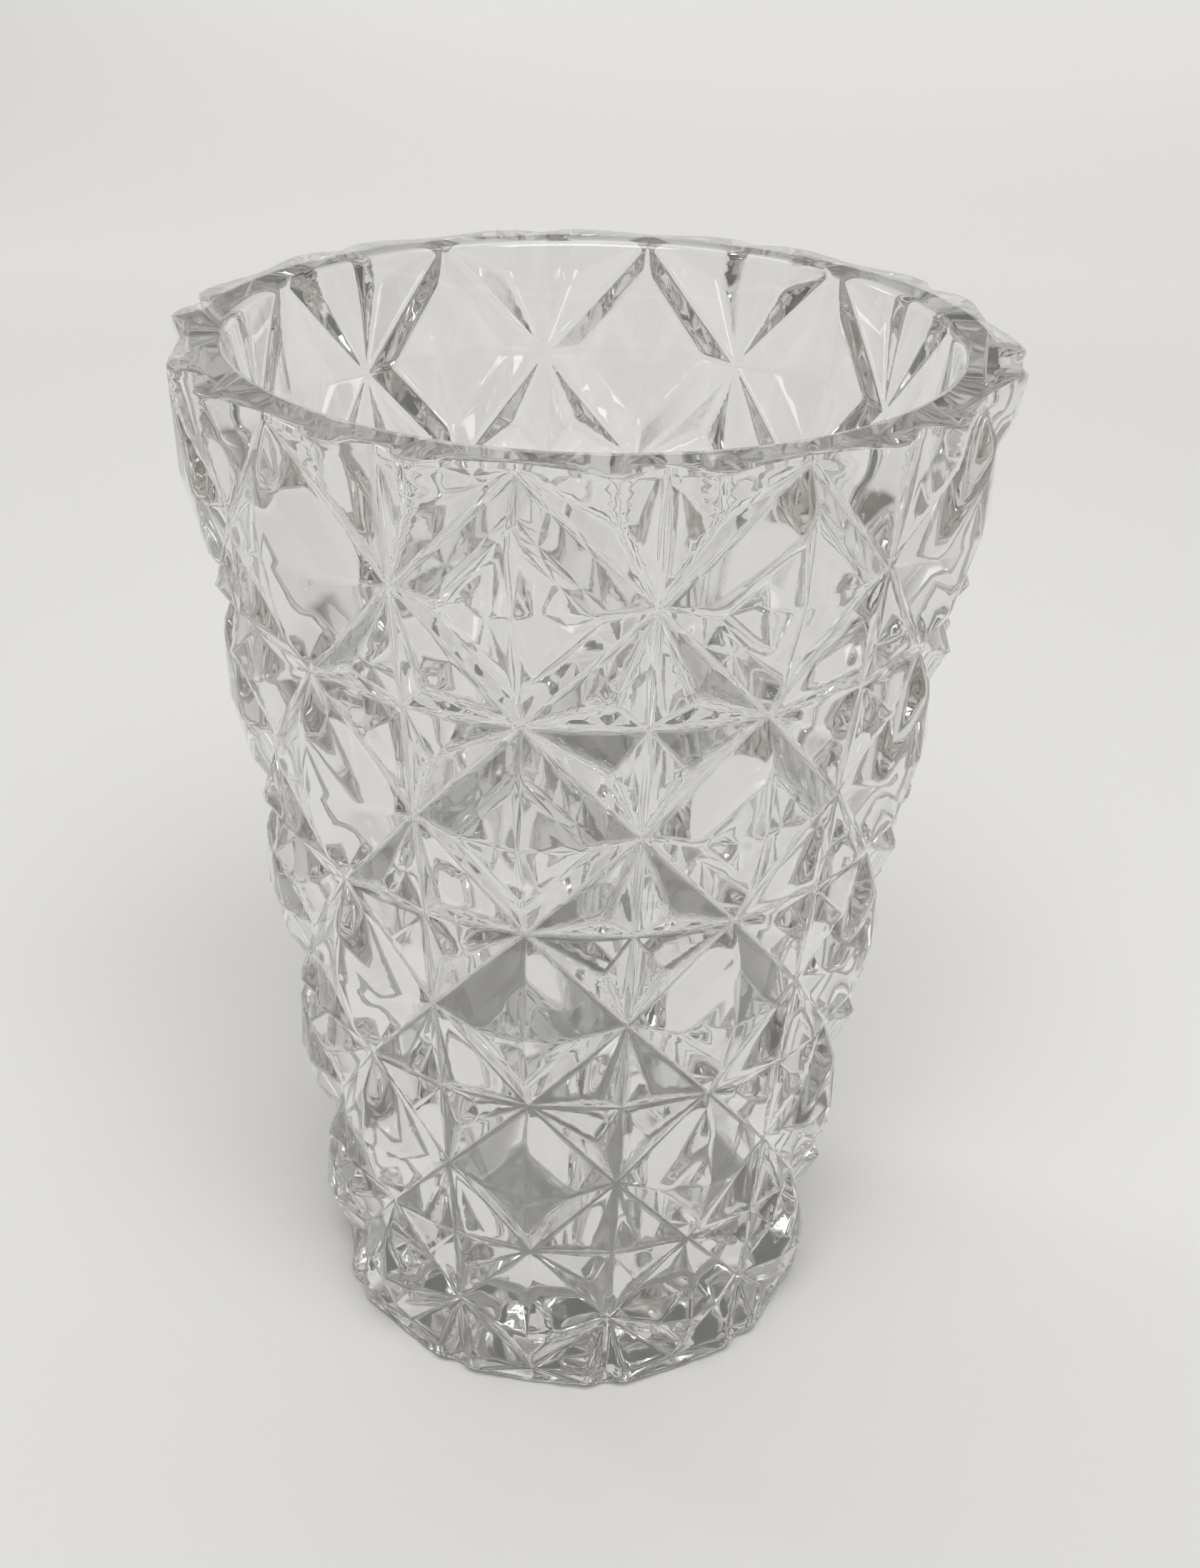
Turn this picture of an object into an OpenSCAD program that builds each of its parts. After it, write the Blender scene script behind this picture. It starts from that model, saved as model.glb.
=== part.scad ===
// Tapered vase of clear crystal, made in one piece.
// The blank is a thick turned cup.  Wide V grooves cross its outside in a net
// of diagonals and leave rows of diamonds.  Diamonds in the whole rows keep a
// low four-sided button.  Diamonds between them are crossed again by one
// upright and one level groove, so that six rays meet at every star.

/* [Body] */
// Height of the vase, foot to lip
height = 229; // [190:1:280]
// Radius at the foot, in the bottom of the grooves
foot_r = 52.2; // [43:0.1:64]
// Radius at the lip, in the bottom of the grooves
lip_r = 80.9; // [67:0.1:98]
// How far the side dips inside a straight cone at mid height
side_dip = 1.7; // [0:0.1:4]

/* [Glass] */
// Wall at the lip, from the hollow to the bottom of the grooves
lip_wall = 9; // [6:0.1:12]
// Wall at the floor of the hollow, to the bottom of the grooves
low_wall = 10; // [7:0.1:13]
// Thickness of the floor under the hollow
floor_t = 16; // [10:0.5:24]
// Rounding between the floor and the wall of the hollow
floor_fillet = 9; // [4:0.5:14]

/* [Lip and foot] */
// How far the lip stands out past the bottom of the grooves
lip_out = 4.2; // [2:0.1:5]
// Radius of the rounded lip on its outer side
lip_round_out = 1.5; // [1:0.1:3.5]
// Radius of the rounded lip on its inner side
lip_round_in = 2; // [0.8:0.1:3]
// How far the foot stands out past the bottom of the grooves
foot_out = 2.8; // [1:0.1:4]
// Radius of the rounded edge of the foot
foot_round = 1.8; // [1:0.1:3]
// Slope of the foot's plain band, where the grooves run out on it
foot_slope = 33; // [20:1:60]
// Depth of the shallow hollow under the foot
kick_depth = 1.6; // [0.5:0.1:4]
// Width of the flat ring that the vase stands on
stand_ring_w = 9; // [5:0.5:16]

/* [Pattern] */
// Stars in one row around the vase
stars_around = 10; // [8:1:12]
// Rows of whole diamonds from lip to foot
diamond_rows = 5; // [4:1:6]
// Height of each half row as a share of the half row above it
row_ratio = 0.973; // [0.94:0.001:1]
// Plain glass between the top row and the lip
lip_band = 1.3; // [1:0.1:5]
// Plain glass between the last row and the underside
foot_band = 2.4; // [1.5:0.1:4]
// Width of one slope of a diagonal groove
groove_w = 6.6; // [5:0.1:9]
// Depth of a diagonal groove
groove_depth = 4.4; // [2:0.1:5.5]
// Rise of a button's point over its four corners
button_rise = 1.6; // [0.2:0.1:2.5]

/* [Hidden] */
$fn = 96;

half_rows = 2 * diamond_rows;
columns = 2 * stars_around;
column_angle = 360 / columns;
pattern_top = height - lip_band;
// the blank before its grooves stands out this far past their bottom
blank_out = groove_depth + button_rise + 1;
// the net runs past the lip and the foot, where the blank ends it
overrun = 12;
// pieces that stand for a curved outline
curve_steps = 8;
// angle at which the rounded lip and foot leave the outside of the blank
edge_angle = 20;

// ---- the turned blank ----

// radius in the bottom of the grooves at height z
function valley_r(z) =
    let (t = z / height)
    foot_r + (lip_r - foot_r) * t - side_dip * 4 * t * (1 - t);

// radius of the hollow at height z
function hollow_r(z) =
    let (t = (z - floor_t) / (height - floor_t))
    valley_r(z) - low_wall + (low_wall - lip_wall) * t;

// points of an arc about [x, y], radius r, from angle a0 to a1
function arc(x, y, r, a0, a1) = [
    for (i = [0:curve_steps])
        let (a = a0 + (a1 - a0) * i / curve_steps)
        [x + r * cos(a), y + r * sin(a)]
];

// Blank: the turned cup before any groove, with its lip, foot and hollow.
module blank() {
    outside = concat(
        arc(foot_r + foot_out - foot_round, foot_round, foot_round, -90, -edge_angle),
        [[foot_r + blank_out, 2 * foot_round], [lip_r + blank_out, height - 2 * lip_round_out]],
        arc(lip_r + lip_out - lip_round_out, height - lip_round_out, lip_round_out,
            edge_angle, 90)
    );
    wall_foot = floor_t + floor_fillet;
    wall_top = height - lip_round_in;
    inside = concat(
        arc(hollow_r(height) + lip_round_in, wall_top, lip_round_in, 90, 180),
        [for (i = [1:curve_steps - 1])
            let (z = wall_top + (wall_foot - wall_top) * i / curve_steps)
            [hollow_r(z), z]],
        arc(hollow_r(wall_foot) - floor_fillet, wall_foot, floor_fillet, 0, -90),
        [[0, floor_t]]
    );
    kick_r = foot_r + foot_out - foot_round - stand_ring_w;
    underside = [for (i = [0:curve_steps])
        let (t = i / curve_steps) [kick_r * t, kick_depth * (1 - t * t)]];
    rotate_extrude() polygon(concat(outside, inside, underside));
}

// ---- the net of grooves ----

// height of m half rows in units of the top one
function rows_sum(m) =
    row_ratio == 1 ? m : (1 - pow(row_ratio, m)) / (1 - row_ratio);

// height of the line m half rows below the top line; the foot's band cuts the last one short
function row_z(m) =
    max(foot_band, pattern_top * (1 - rows_sum(m) / rows_sum(half_rows)));

// point u columns round, m half rows down, h outside the bottom of the grooves
function net_point(u, m, h) =
    let (z = row_z(m), r = valley_r(z) + h, a = u * column_angle)
    [r * cos(a), r * sin(a), z];

// share of a diamond that its grooves leave, from its centre to a corner
function kept(m) =
    let (above = max(m - 1, 0), below = min(m + 1, half_rows),
         half_w = valley_r(row_z(m)) * sin(column_angle),
         half_h = (row_z(above) - row_z(below)) / (below - above),
         span = half_w * half_h / norm([half_w, half_h]))
    1 - groove_w / span;

// triangles of a fan about a point, along an open or closed line
function fan(centre, line) = [
    for (i = [0:len(line) - 2]) [centre, line[i + 1], line[i]]
];

// triangles of a band between two lines that run the same way
function band(outer, inner) = [
    for (i = [0:len(outer) - 2]) each [
        [outer[i], inner[i + 1], outer[i + 1]],
        [outer[i], inner[i], inner[i + 1]]
    ]
];

// Diamond of a whole row: four groove slopes up to a low button.
function button(u, m) =
    let (s = kept(m), g = groove_depth,
         stars = [net_point(u - 1, m, 0), net_point(u, m + 1, 0), net_point(u + 1, m, 0),
                  net_point(u, m - 1, 0), net_point(u - 1, m, 0)],
         corners = [net_point(u - s, m, g), net_point(u, m + s, g), net_point(u + s, m, g),
                    net_point(u, m - s, g), net_point(u - s, m, g)])
    concat(band(stars, corners), fan(net_point(u, m, g + button_rise), corners));

// Quarter of a crossed diamond, on the side du and dm of its centre.
function quarter(u, m, du, dm) =
    let (p = kept(m) / 2,
         side_star = net_point(u + du, m, 0),
         end_star = net_point(u, m + dm, 0),
         centre = net_point(u, m, 0),
         peak = net_point(u + du * p, m + dm * p, groove_depth))
    du * dm > 0
        ? fan(peak, [side_star, centre, end_star, side_star])
        : fan(peak, [side_star, end_star, centre, side_star]);

function crossed(u, m) =
    [for (du = [-1, 1]) for (dm = [-1, 1]) each quarter(u, m, du, dm)];

// Half diamond against the lip or the foot: an upright groove and no level one.
// dm is the side that stays.
function half_crossed(u, m, dm) =
    let (p = kept(m) / 2,
         end_star = net_point(u, m + dm, 0),
         middle = net_point(u, m, 0))
    [for (du = [-1, 1])
        let (side_star = net_point(u + du, m, 0),
             peak = net_point(u + du * p, m + dm * p, groove_depth),
             ridge = net_point(u + du * p, m, groove_depth),
             facets = [[end_star, peak, side_star],
                       [side_star, peak, ridge],
                       [end_star, middle, peak],
                       [peak, middle, ridge]])
        for (f = facets) du * dm > 0 ? f : [f[0], f[2], f[1]]
    ];

// points of the pattern's last line that belong to the half diamond at u
function edge_line(u, m) =
    let (p = kept(m) / 2)
    [net_point(u - 1, m, 0), net_point(u - p, m, groove_depth),
     net_point(u, m, 0), net_point(u + p, m, groove_depth)];

// point p moved to height z
function at_height(p, z) = [p[0], p[1], z];

// point p moved out to the blank's outside and down the slope of the foot's band
function at_flare(p) =
    let (r = norm([p[0], p[1]]), k = (valley_r(p[2]) + blank_out) / r)
    [p[0] * k, p[1] * k, p[2] - (k - 1) * r * tan(foot_slope)];

// Solid that the net bounds.  Past the lip it goes straight up.  At the foot it
// spreads over the plain band.
module net_solid() {
    even = [for (u = [0:2:columns - 2]) u];
    odd = [for (u = [1:2:columns - 1]) u];
    cells = concat(
        [for (m = [1:2:half_rows - 1]) for (u = odd) each button(u, m)],
        [for (m = [2:2:half_rows - 2]) for (u = even) each crossed(u, m)],
        [for (u = even) each half_crossed(u, 0, 1)],
        [for (u = even) each half_crossed(u, half_rows, -1)]
    );
    top_line = [for (u = even) each edge_line(u, 0)];
    foot_line = [for (u = even) each edge_line(u, half_rows)];
    high = height + overrun;
    low = -overrun;
    ends = [for (i = [0:len(top_line) - 1])
        let (k = (i + 1) % len(top_line),
             a = top_line[i], b = top_line[k], c = foot_line[i], d = foot_line[k])
        each [
            [a, at_height(b, high), b], [a, at_height(a, high), at_height(b, high)],
            [c, d, at_flare(d)], [c, at_flare(d), at_flare(c)],
            [at_flare(c), at_flare(d), at_height(at_flare(d), low)],
            [at_flare(c), at_height(at_flare(d), low), at_height(at_flare(c), low)],
            [[0, 0, high], at_height(b, high), at_height(a, high)],
            [[0, 0, low], at_height(at_flare(c), low), at_height(at_flare(d), low)]
        ]
    ];
    facets = concat(cells, ends);
    polyhedron(
        points = [for (f = facets) each f],
        faces = [for (i = [0:len(facets) - 1]) [3 * i, 3 * i + 1, 3 * i + 2]]
    );
}

// ---- the vase ----

module crystal_vase() {
    color([0.86, 0.88, 0.87, 0.45])
        intersection() {
            blank();
            net_solid();
        }
}

crystal_vase();
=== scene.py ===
import math

import bpy
import numpy as np
from mathutils import Matrix, Vector


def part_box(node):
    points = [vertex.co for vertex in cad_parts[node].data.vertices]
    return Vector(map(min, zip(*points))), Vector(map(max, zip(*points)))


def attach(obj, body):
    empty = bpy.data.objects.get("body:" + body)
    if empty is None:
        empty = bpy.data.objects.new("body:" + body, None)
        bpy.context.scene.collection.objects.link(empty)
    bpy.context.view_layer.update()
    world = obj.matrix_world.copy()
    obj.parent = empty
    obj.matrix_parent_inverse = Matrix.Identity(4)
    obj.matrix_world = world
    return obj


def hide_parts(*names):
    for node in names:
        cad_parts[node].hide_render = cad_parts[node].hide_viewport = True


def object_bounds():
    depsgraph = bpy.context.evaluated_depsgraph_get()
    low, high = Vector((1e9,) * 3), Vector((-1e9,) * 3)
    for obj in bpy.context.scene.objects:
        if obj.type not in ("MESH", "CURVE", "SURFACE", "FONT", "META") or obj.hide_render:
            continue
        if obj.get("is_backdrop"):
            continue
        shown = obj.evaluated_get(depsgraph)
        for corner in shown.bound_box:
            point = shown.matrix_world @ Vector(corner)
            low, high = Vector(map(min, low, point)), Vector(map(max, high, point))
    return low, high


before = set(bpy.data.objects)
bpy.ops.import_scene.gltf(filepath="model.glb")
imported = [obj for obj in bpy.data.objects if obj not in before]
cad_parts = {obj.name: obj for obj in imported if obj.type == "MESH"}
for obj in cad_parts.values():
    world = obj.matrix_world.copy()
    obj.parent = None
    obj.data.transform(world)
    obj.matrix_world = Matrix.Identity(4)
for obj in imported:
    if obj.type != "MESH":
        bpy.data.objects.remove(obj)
cad_low, cad_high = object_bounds()

# ---- vase: the turned cup ----
# The vase is one thick piece of clear crystal, pressed in a mould and then fire
# polished, so that every edge is a little round.  Under its cuts it is a turned cup
# with a round lip and foot.
MM = 0.001  # sizes of the vase are in millimetres, and its mesh is in metres
node_low, node_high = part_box("crystal_vase")
height = (node_high.z - node_low.z) / MM
foot_radius, lip_radius, side_dip = 52.2, 80.9, 1.7
low_wall, lip_wall = 10.0, 9.0
floor_thickness, floor_fillet = 16.0, 9.0
lip_out, lip_round, lip_round_in = 4.2, 1.5, 2.0
foot_out, foot_round, foot_band = 2.8, 1.8, 2.4
foot_slope = math.tan(math.radians(33))
kick_depth, stand_ring = 1.6, 9.0
# angle at which the round lip and foot turn into the side
edge_angle = math.radians(20)
# the side stands this far past the cuts, so that they alone shape it
side_room = 7.0
# glass that fire polishing takes off the outside
polish = 0.05

lip_centre = (lip_radius + lip_out - lip_round, height - lip_round)
foot_centre = (foot_radius + foot_out - foot_round, foot_round)


def cut_floor(z):
    """Radius in the bottom of the cuts at height z."""
    share = z / height
    cone = foot_radius + (lip_radius - foot_radius) * share
    return cone - side_dip * 4 * share * (1 - share)


def hollow_radius(z):
    """Radius of the hollow at height z."""
    share = (z - floor_thickness) / (height - floor_thickness)
    return cut_floor(z) - low_wall + (low_wall - lip_wall) * share


def stands_out(radius, away):
    """How far a rounding stands out, at a distance from its centre."""
    return np.sqrt(np.maximum(radius * radius - away * away, 0))


def cup_radius(z):
    """Outside of the cup before its cuts: round at the foot and the lip, clear between."""
    foot_end = foot_centre[1] - foot_round * math.sin(edge_angle)
    lip_start = lip_centre[1] + lip_round * math.sin(edge_angle)
    side = np.interp(
        z, [foot_end, 2 * foot_round, height - 2 * lip_round, lip_start],
        [foot_centre[0] + foot_round * math.cos(edge_angle), foot_radius + side_room,
         lip_radius + side_room, lip_centre[0] + lip_round * math.cos(edge_angle)])
    foot = foot_centre[0] + stands_out(foot_round, foot_centre[1] - z)
    lip = lip_centre[0] + stands_out(lip_round, z - lip_centre[1])
    return np.where(z < foot_end, foot, np.where(z > lip_start, lip, side)) - polish


# ---- vase: the net of cuts ----
# Wide V cuts cross on the outside and leave rows of diamonds.  Whole rows keep a
# low four-sided button.  The diamonds between them are crossed by an upright and
# a level cut, which leaves four small peaks.
columns, half_rows = 20, 10  # columns of stars count round, and lines of stars down
column_angle = 2 * math.pi / columns
row_ratio, lip_band = 0.973, 1.3
cut_width, cut_depth, button_rise = 6.6, 4.4, 1.6
# how round the polish leaves a ridge and the bottom of a cut
ridge_softness, valley_softness = 0.03, 0.06

lines = np.arange(half_rows + 1)
share_down = (1 - row_ratio ** lines) / (1 - row_ratio ** half_rows)
line_levels = np.maximum((height - lip_band) * (1 - share_down), foot_band)


def line_height(line):
    """Height of a line of stars, or of a place between two of them."""
    return np.interp(line, lines, line_levels)


def net_point(column, line, out):
    """Point of the net, at a distance out from the bottom of the cuts."""
    z = float(line_height(line))
    radius, turn = cut_floor(z) + out, column * column_angle
    return np.array([radius * math.cos(turn), radius * math.sin(turn), z])


def kept(line):
    """Share of a diamond that its cuts leave, from its centre to a corner."""
    above, below = max(line - 1, 0), min(line + 1, half_rows)
    half_width = cut_floor(line_levels[line]) * math.sin(column_angle)
    half_height = (line_levels[above] - line_levels[below]) / (below - above)
    return 1 - cut_width / (half_width * half_height / math.hypot(half_width, half_height))


def button_facets(line):
    """Facets of a whole diamond.  In each group the lowest facet shows, then the highest group."""
    left = kept(line)
    around = [(-1, 0), (0, 1), (1, 0), (0, -1), (-1, 0)]
    stars = [net_point(x, line + y, 0) for x, y in around]
    corners = [net_point(x * left, line + y * left, cut_depth) for x, y in around]
    apex = net_point(0, line, cut_depth + button_rise)
    own, others = [], []
    for side in range(4):
        own.append((stars[side], stars[side + 1], (corners[side] + corners[side + 1]) / 2))
        own.append((corners[side], corners[side + 1], apex))
        x, y = around[side][0] + around[side + 1][0], around[side][1] + around[side + 1][1]
        peak = kept(line + y) / 2
        peak_across = net_point(x * (1 - peak), line + y * (1 - peak), cut_depth)
        others.append([(stars[side], stars[side + 1], peak_across)])
    return [own] + others


def crossed_facets(line):
    """Facets of a crossed diamond, or of the half of one at the lip or the foot."""
    peak_share = kept(line) / 2
    groups = []
    for x in (-1, 1):
        for y in (-1, 1):
            if not 0 <= line + y <= half_rows:
                continue
            side, end = net_point(x, line, 0), net_point(0, line + y, 0)
            middle = net_point(0, line, 0)
            peak = net_point(x * peak_share, line + y * peak_share, cut_depth)
            level = middle
            if line in (0, half_rows):
                level = net_point(x * peak_share, line, cut_depth)
            groups.append([(side, end, peak), (middle, end, peak), (side, level, peak)])
            left = kept(line + y)
            rim_across = (net_point(x * (1 - left), line + y, cut_depth)
                          + net_point(x, line + y * (1 - left), cut_depth)) / 2
            groups.append([(side, end, rim_across)])
    return groups


def facet_radius(facet, turn, z):
    """Distance from the axis to a facet's plane, at each turn and height."""
    a, b, c = facet
    normal = np.cross(b - a, c - a)
    across_plane = normal[0] * np.cos(turn) + normal[1] * np.sin(turn)
    return (normal @ a - normal[2] * z) / across_plane


def soft_low(values, softness):
    """The lowest of the values, rounded where they cross."""
    return -softness * np.logaddexp.reduce([-v / softness for v in values])


def soft_high(values, softness):
    """The highest of the values, rounded where they cross."""
    return softness * np.logaddexp.reduce([v / softness for v in values])


# Each diamond is a square grid turned by 45 degrees, whose lines crowd together at
# the cuts and at the rim of the button.  Neighbours share the points on their
# edges: a point's name is its place round the vase and its row down from the lip.
steps, crowding = 28, 0.5
even = np.linspace(0, 1, steps + 1)
grid_line = even - crowding * np.sin(4 * math.pi * even) / (4 * math.pi)
first_way, second_way = np.meshgrid(np.arange(steps + 1), np.arange(steps + 1), indexing="ij")
across = grid_line[first_way] + grid_line[second_way] - 1
down = grid_line[first_way] - grid_line[second_way]
places, last_row = columns * steps, half_rows * steps
# squares are cut along their level or their upright line, by the quarter they are in
in_first_half = np.arange(steps) < steps // 2
level_split = in_first_half[:, None] == in_first_half[None, :]

names, turns, heights, radii, faces = [], [], [], [], []
for line in lines:
    groups = button_facets(line) if line % 2 else crossed_facets(line)
    z = line_height(np.clip(line + down, 0, half_rows))
    group_radii = [
        soft_low([facet_radius(facet, across * column_angle, z) for facet in group],
                 ridge_softness)
        for group in groups]
    radius = soft_high(group_radii, valley_softness)
    row = line * steps + first_way - second_way
    on_net = (row >= 0) & (row <= last_row)
    square_row = row[:-1, :-1]
    above_foot, under_lip = square_row < last_row, square_row > 0
    for column in range(line % 2, columns, 2):
        name = row * places + (column * steps + first_way + second_way) % places
        names.append(name[on_net])
        turns.append(((column + across) * column_angle)[on_net])
        heights.append(z[on_net])
        radii.append(radius[on_net])
        left, low, right, top = name[:-1, :-1], name[1:, :-1], name[1:, 1:], name[:-1, 1:]
        for keep, corners in (
                (level_split & (square_row >= 0) & above_foot, (left, low, right)),
                (level_split & under_lip & (square_row <= last_row), (left, right, top)),
                (~level_split & under_lip & above_foot, (left, low, top)),
                (~level_split & under_lip & above_foot, (low, right, top))):
            faces.append(np.stack([corner[keep] for corner in corners], axis=1))

point_names, first, index = np.unique(np.concatenate(names), return_index=True,
                                      return_inverse=True)
cut_radius = np.bincount(index, np.concatenate(radii)) / np.bincount(index)
turn = np.concatenate(turns)[first]
level = np.concatenate(heights)[first]
triangles = np.searchsorted(point_names, np.concatenate(faces))
outside = soft_low([cut_radius, cup_radius(level)], ridge_softness)
net_points = np.stack([outside * np.cos(turn), outside * np.sin(turn), level], axis=1)

# ---- vase: lip, hollow and underside ----
# The lip is round and the hollow smooth, with a round corner at its floor.  The vase
# stands on a flat ring round a shallow hollow.  Level rings of points carry on from
# the net over the lip and down inside, and in under the foot.
ring_size = columns // 2 * steps
ring_turn = turn[:ring_size]
lip_line = np.arange(ring_size)
foot_line = np.arange(len(turn) - ring_size, len(turn))
rings, quads = [], []


def add_ring(radius, z):
    """Adds a level ring of points and returns their numbers."""
    radius = np.broadcast_to(radius, ring_size)
    rings.append(np.stack([radius * np.cos(ring_turn), radius * np.sin(ring_turn),
                           np.full(ring_size, z)], axis=1))
    return len(turn) + ring_size * (len(rings) - 1) + np.arange(ring_size)


def join(upper, lower):
    """Joins two rings with quads that face out of the glass."""
    quads.append(np.stack([upper, lower, np.roll(lower, -1), np.roll(upper, -1)], axis=1))


def edge_ring(radius, z):
    """A ring on a round edge, where the cuts end on it."""
    return soft_low([radius, np.full(ring_size, cup_radius(z))], ridge_softness), z


lip_steps, mouth_steps, wall_steps, fillet_steps = 8, 7, 26, 9
floor_shares = (0.8, 0.6, 0.4, 0.2, 0.05)
over_lip = []
lip_start = math.asin((line_levels[0] - lip_centre[1]) / lip_round)
for bend in np.linspace(lip_start, math.pi / 2, lip_steps)[1:]:
    over_lip.append(edge_ring(cut_radius[:ring_size], lip_centre[1] + lip_round * math.sin(bend)))
mouth_radius = hollow_radius(height) + lip_round_in
over_lip.append(((lip_centre[0] + mouth_radius) / 2, height))
for bend in np.linspace(math.pi / 2, math.pi, mouth_steps):
    over_lip.append((mouth_radius + lip_round_in * math.cos(bend),
                     height - lip_round_in + lip_round_in * math.sin(bend)))
wall_end = floor_thickness + floor_fillet
for z in np.linspace(height - lip_round_in, wall_end, wall_steps)[1:-1]:
    over_lip.append((hollow_radius(z), z))
for bend in np.linspace(0, -math.pi / 2, fillet_steps):
    over_lip.append((hollow_radius(wall_end) + floor_fillet * (math.cos(bend) - 1),
                     wall_end + floor_fillet * math.sin(bend)))
floor_radius = hollow_radius(wall_end) - floor_fillet
over_lip += [(floor_radius * share, floor_thickness) for share in floor_shares]

floor_ring = lip_line
for radius, z in over_lip:
    following = add_ring(radius, z)
    join(following, floor_ring)
    floor_ring = following

# the cuts run out down the foot's band, so its rings are close together
band_levels = (2.1, 1.8, 1.5, 1.2, 0.98, 0.78, 0.58, 0.38, 0.2, 0.07, 0.0)
kick_shares = (0.92, 0.8, 0.6, 0.4, 0.2, 0.05)
kick_radius = foot_centre[0] - stand_ring
under = [edge_ring(cut_radius[foot_line] + (foot_band - z) / foot_slope, z)
         for z in band_levels]
under += [(foot_centre[0] - stand_ring / 2, 0), (kick_radius, 0)]
under += [(kick_radius * share, kick_depth * (1 - share * share)) for share in kick_shares]
under_ring = foot_line
for radius, z in under:
    following = add_ring(radius, z)
    join(under_ring, following)
    under_ring = following

floor_centre = len(turn) + ring_size * len(rings)
centres = np.array([[0, 0, floor_thickness], [0, 0, kick_depth]])
fans = [np.stack([floor_ring, np.roll(floor_ring, -1), np.full(ring_size, floor_centre)], axis=1),
        np.stack([np.roll(under_ring, -1), under_ring, np.full(ring_size, floor_centre + 1)],
                 axis=1)]

all_points = np.concatenate([net_points] + rings + [centres]) * MM + np.array([0, 0, node_low.z])
all_faces = np.concatenate([triangles] + fans).tolist() + np.concatenate(quads).tolist()
mesh = bpy.data.meshes.new("crystal_vase_glass")
mesh.from_pydata(all_points.tolist(), [], all_faces)
mesh.validate()
mesh.polygons.foreach_set("use_smooth", [True] * len(mesh.polygons))
vase = bpy.data.objects.new("crystal_vase_glass", mesh)
bpy.context.collection.objects.link(vase)
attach(vase, "root")
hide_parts("crystal_vase")


def linear(hex_colour):
    """An sRGB hex colour as linear RGB with full alpha."""
    values = [int(hex_colour[k:k + 2], 16) / 255 for k in (1, 3, 5)]
    return (*(v / 12.92 if v <= 0.04045 else ((v + 0.055) / 1.055) ** 2.4 for v in values), 1)


def add_node(tree, kind, settings=None, inputs=None):
    """Adds a shader node with its settings, and links or sets its inputs."""
    node = tree.nodes.new(kind)
    for name, value in (settings or {}).items():
        setattr(node, name, value)
    for name, value in (inputs or {}).items():
        if isinstance(value, bpy.types.NodeSocket):
            tree.links.new(value, node.inputs[name])
        else:
            node.inputs[name].default_value = value
    return node


# Clear crystal, which is glass with some lead.  A faint warm grey shows only in its
# depth.  Fire polishing leaves long shallow ripples and a fine orange peel, which
# bend the edges of facets that are seen through others.
glass = bpy.data.materials.new("fire_polished_crystal")
glass.use_nodes = True
glass_tree = glass.node_tree
glass_shader = glass_tree.nodes["Principled BSDF"]
glass_shader.inputs["Base Color"].default_value = linear("#fbfbfa")
glass_shader.inputs["Transmission Weight"].default_value = 1.0
glass_shader.inputs["IOR"].default_value = 1.56
ripple_length, ripple_depth = 14 * MM, 0.10 * MM
peel_length, peel_depth = 2.5 * MM, 0.006 * MM
on_glass = add_node(glass_tree, "ShaderNodeTexCoord").outputs["Object"]
ripple = add_node(glass_tree, "ShaderNodeTexNoise", inputs={
    "Vector": on_glass, "Scale": 1 / ripple_length, "Detail": 1.0}).outputs["Fac"]
peel = add_node(glass_tree, "ShaderNodeTexNoise", inputs={
    "Vector": on_glass, "Scale": 1 / peel_length, "Detail": 2.0}).outputs["Fac"]
rippled = add_node(glass_tree, "ShaderNodeBump", inputs={
    "Height": ripple, "Strength": 1.0, "Distance": ripple_depth})
polished = add_node(glass_tree, "ShaderNodeBump", inputs={
    "Height": peel, "Strength": 1.0, "Distance": peel_depth, "Normal": rippled.outputs["Normal"]})
# handling leaves a slight haze that comes and goes over the surface
haze = add_node(glass_tree, "ShaderNodeMapRange", inputs={
    "Value": ripple, "To Min": 0.01, "To Max": 0.05})
glass_tree.links.new(polished.outputs["Normal"], glass_shader.inputs["Normal"])
glass_tree.links.new(haze.outputs["Result"], glass_shader.inputs["Roughness"])
depth = add_node(glass_tree, "ShaderNodeVolumeAbsorption", inputs={
    "Color": linear("#e0dfdb"), "Density": 8.5})
glass_tree.links.new(depth.outputs["Volume"], glass_tree.nodes["Material Output"].inputs["Volume"])
mesh.materials.append(glass)

# ---- stage: sweep ----
# One sheet of pale matt paper, level under the vase and curved up all round it.  Its
# walls beside and in front of the vase carry painted shade: the paper colour is darkened
# there to the grey of a dim, unlit room, which the facets mirror.  Sizes from here on are in
# metres.
floor_reach, curve_radius, wall_height = 0.8, 0.5, 0.55
first_fold, curve_steps, round_steps = 0.2, 17, 96
sheet_curve = [(floor_reach + curve_radius * math.sin(bend), curve_radius * (1 - math.cos(bend)))
               for bend in np.linspace(0, math.pi / 2, curve_steps)]
sheet_line = ([(0.0, 0.0), (first_fold, 0.0)] + sheet_curve
              + [(floor_reach + curve_radius, wall_height)])
paper_gap = 0.2 * MM
sweep_mesh = bpy.data.meshes.new("pale_sweep")
sweep_mesh.from_pydata([(x, 0, z - paper_gap) for x, z in sheet_line],
                       [(k, k + 1) for k in range(len(sheet_line) - 1)], [])
sweep = bpy.data.objects.new("pale_sweep", sweep_mesh)
bpy.context.collection.objects.link(sweep)
turned = sweep.modifiers.new("turned", "SCREW")
turned.steps = turned.render_steps = round_steps
turned.use_merge_vertices = True
turned.use_smooth_shade = True
sweep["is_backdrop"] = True

# Matt paper: uncoated, with a fine tooth that takes away all gloss.
paper = bpy.data.materials.new("matt_paper_with_painted_shade")
paper.use_nodes = True
paper_tree = paper.node_tree
paper_shader = paper_tree.nodes["Principled BSDF"]
paper_shader.inputs["Roughness"].default_value = 0.9
paper_shader.inputs["Specular IOR Level"].default_value = 0.2
tooth_length, tooth_depth = 0.8 * MM, 0.05 * MM
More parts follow.
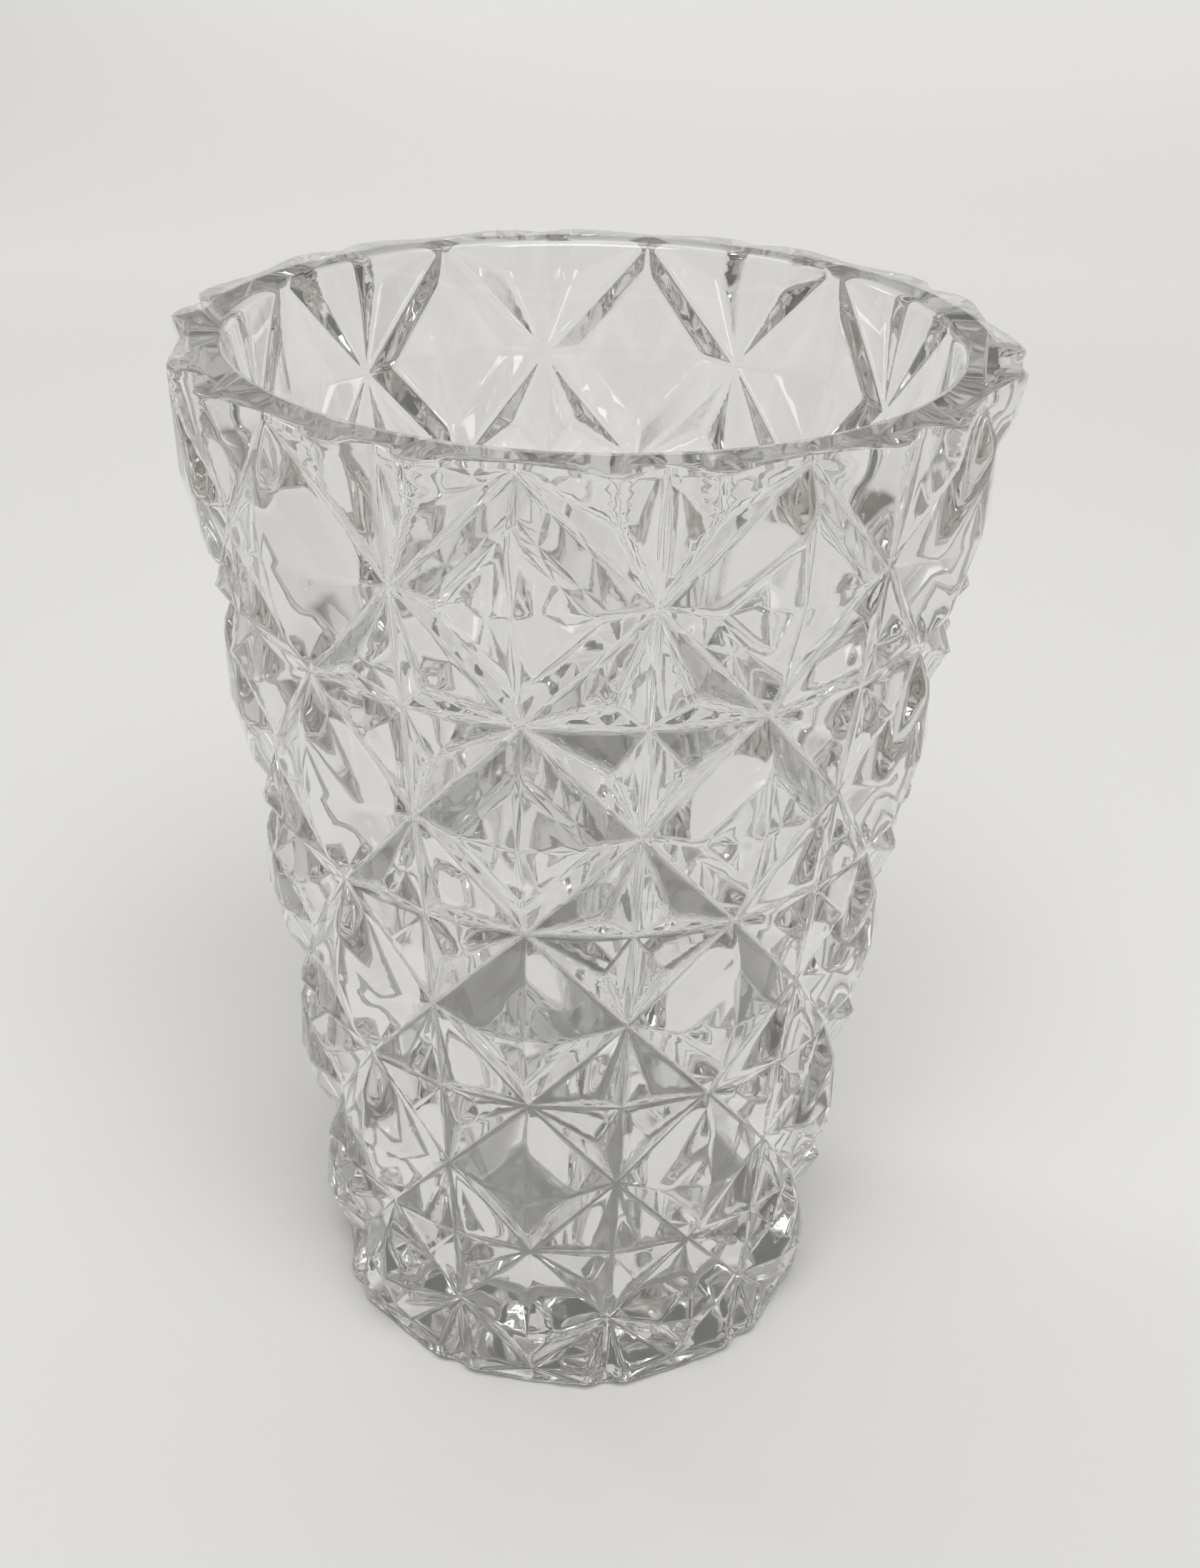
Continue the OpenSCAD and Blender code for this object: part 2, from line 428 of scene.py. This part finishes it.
# painted shade: the paper is painted grey, fading in over these distances from the back to the
# front, and up from the floor
painted_shade_none, painted_shade_full, painted_shade_bottom, painted_shade_top = 1.1, 0.4, 0.02, 0.16
on_paper = add_node(paper_tree, "ShaderNodeTexCoord").outputs["Object"]
axes = add_node(paper_tree, "ShaderNodeSeparateXYZ", inputs={"Vector": on_paper})
nearer = add_node(paper_tree, "ShaderNodeMapRange", inputs={
    "Value": axes.outputs["Y"], "From Min": painted_shade_none, "From Max": painted_shade_full})
higher = add_node(paper_tree, "ShaderNodeMapRange", inputs={
    "Value": axes.outputs["Z"], "From Min": painted_shade_bottom, "From Max": painted_shade_top})
shade = add_node(paper_tree, "ShaderNodeMath", {"operation": "MULTIPLY"}, {
    0: nearer.outputs["Result"], 1: higher.outputs["Result"]})
# a colour mix has its two colours at these places
mix_from, mix_to, mix_result = 6, 7, 2
# the pale paper colour mixed with painted shade, darkest near the front and high on the walls
paper_colour_with_painted_shade = add_node(paper_tree, "ShaderNodeMix", {"data_type": "RGBA"}, {
    "Factor": shade.outputs["Value"], mix_from: linear("#f3f2f0"), mix_to: linear("#857f7a")})
paper_tree.links.new(paper_colour_with_painted_shade.outputs[mix_result], paper_shader.inputs["Base Color"])
tooth = add_node(paper_tree, "ShaderNodeTexNoise", inputs={
    "Vector": on_paper, "Scale": 1 / tooth_length, "Detail": 3.0})
toothed = add_node(paper_tree, "ShaderNodeBump", inputs={
    "Height": tooth.outputs["Fac"], "Strength": 0.3, "Distance": tooth_depth})
paper_tree.links.new(toothed.outputs["Normal"], paper_shader.inputs["Normal"])
sweep_mesh.materials.append(paper)

# ---- lights ----
# A dim room, with a broad ceiling light in front of the vase, a small window behind
# it on the left, and a strip that washes the paper behind.
# Light crosses many faces of cut glass before it comes out, so its paths are long.
paths = bpy.context.scene.cycles
paths.max_bounces = paths.transmission_bounces = 32
paths.glossy_bounces, paths.diffuse_bounces = 16, 6
ceiling_light, window_light, strip_light, room_light = 5.4, 6.0, 3.5, 0.175
vase_middle = (0, 0, 0.1)


def area_light(name, place, size, brightness, aim=vase_middle):
    """A soft rectangular light, which looks just white at a brightness of 1."""
    data = bpy.data.lights.new(name, "AREA")
    data.shape, data.size, data.size_y = "RECTANGLE", size[0], size[1]
    data.energy = brightness * math.pi * size[0] * size[1]
    lamp = bpy.data.objects.new(name, data)
    bpy.context.collection.objects.link(lamp)
    lamp.location = place
    lamp.rotation_euler = (Vector(aim) - Vector(place)).to_track_quat("-Z", "Y").to_euler()


area_light("ceiling", (0.22, -0.9, 1.7), (1.4, 1.0), ceiling_light)
area_light("window", (-1.4, 0.5, 1.1), (0.22, 0.35), window_light)
area_light("backdrop", (-0.1, 0.35, 1.3), (1.2, 0.4), strip_light, aim=(-0.05, 1.3, 0.2))

world = bpy.data.worlds.new("room")
bpy.context.scene.world = world
world.use_nodes = True
background = world.node_tree.nodes["Background"]
background.inputs["Color"].default_value = linear("#fcfcff")
background.inputs["Strength"].default_value = room_light

# ---- camera ----
# Held by hand a little above the lip and looking down into the hollow, a little to
# the right of the front and not quite level.
camera_turn = math.radians(9.096)
camera_away, camera_height, camera_aside = 0.39463, 0.34058, -0.00155
pitch, roll = math.radians(28.36), math.radians(1.38)
camera = bpy.data.cameras.new("camera")
camera.sensor_width = 36
camera.lens = 46.43
camera.shift_x, camera.shift_y = 0.0155, -0.0028
holder = bpy.data.objects.new("camera", camera)
bpy.context.collection.objects.link(holder)
holder.matrix_world = (Matrix.Rotation(camera_turn, 4, "Z")
                       @ Matrix.Translation((camera_aside, -camera_away, camera_height))
                       @ Matrix.Rotation(math.pi / 2 - pitch, 4, "X")
                       @ Matrix.Rotation(roll, 4, "Z"))
bpy.context.scene.camera = holder
bpy.context.scene.view_settings.view_transform = "Standard"

corners = {"cad": [list(cad_low), list(cad_high)], "visual": [list(c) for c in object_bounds()]}
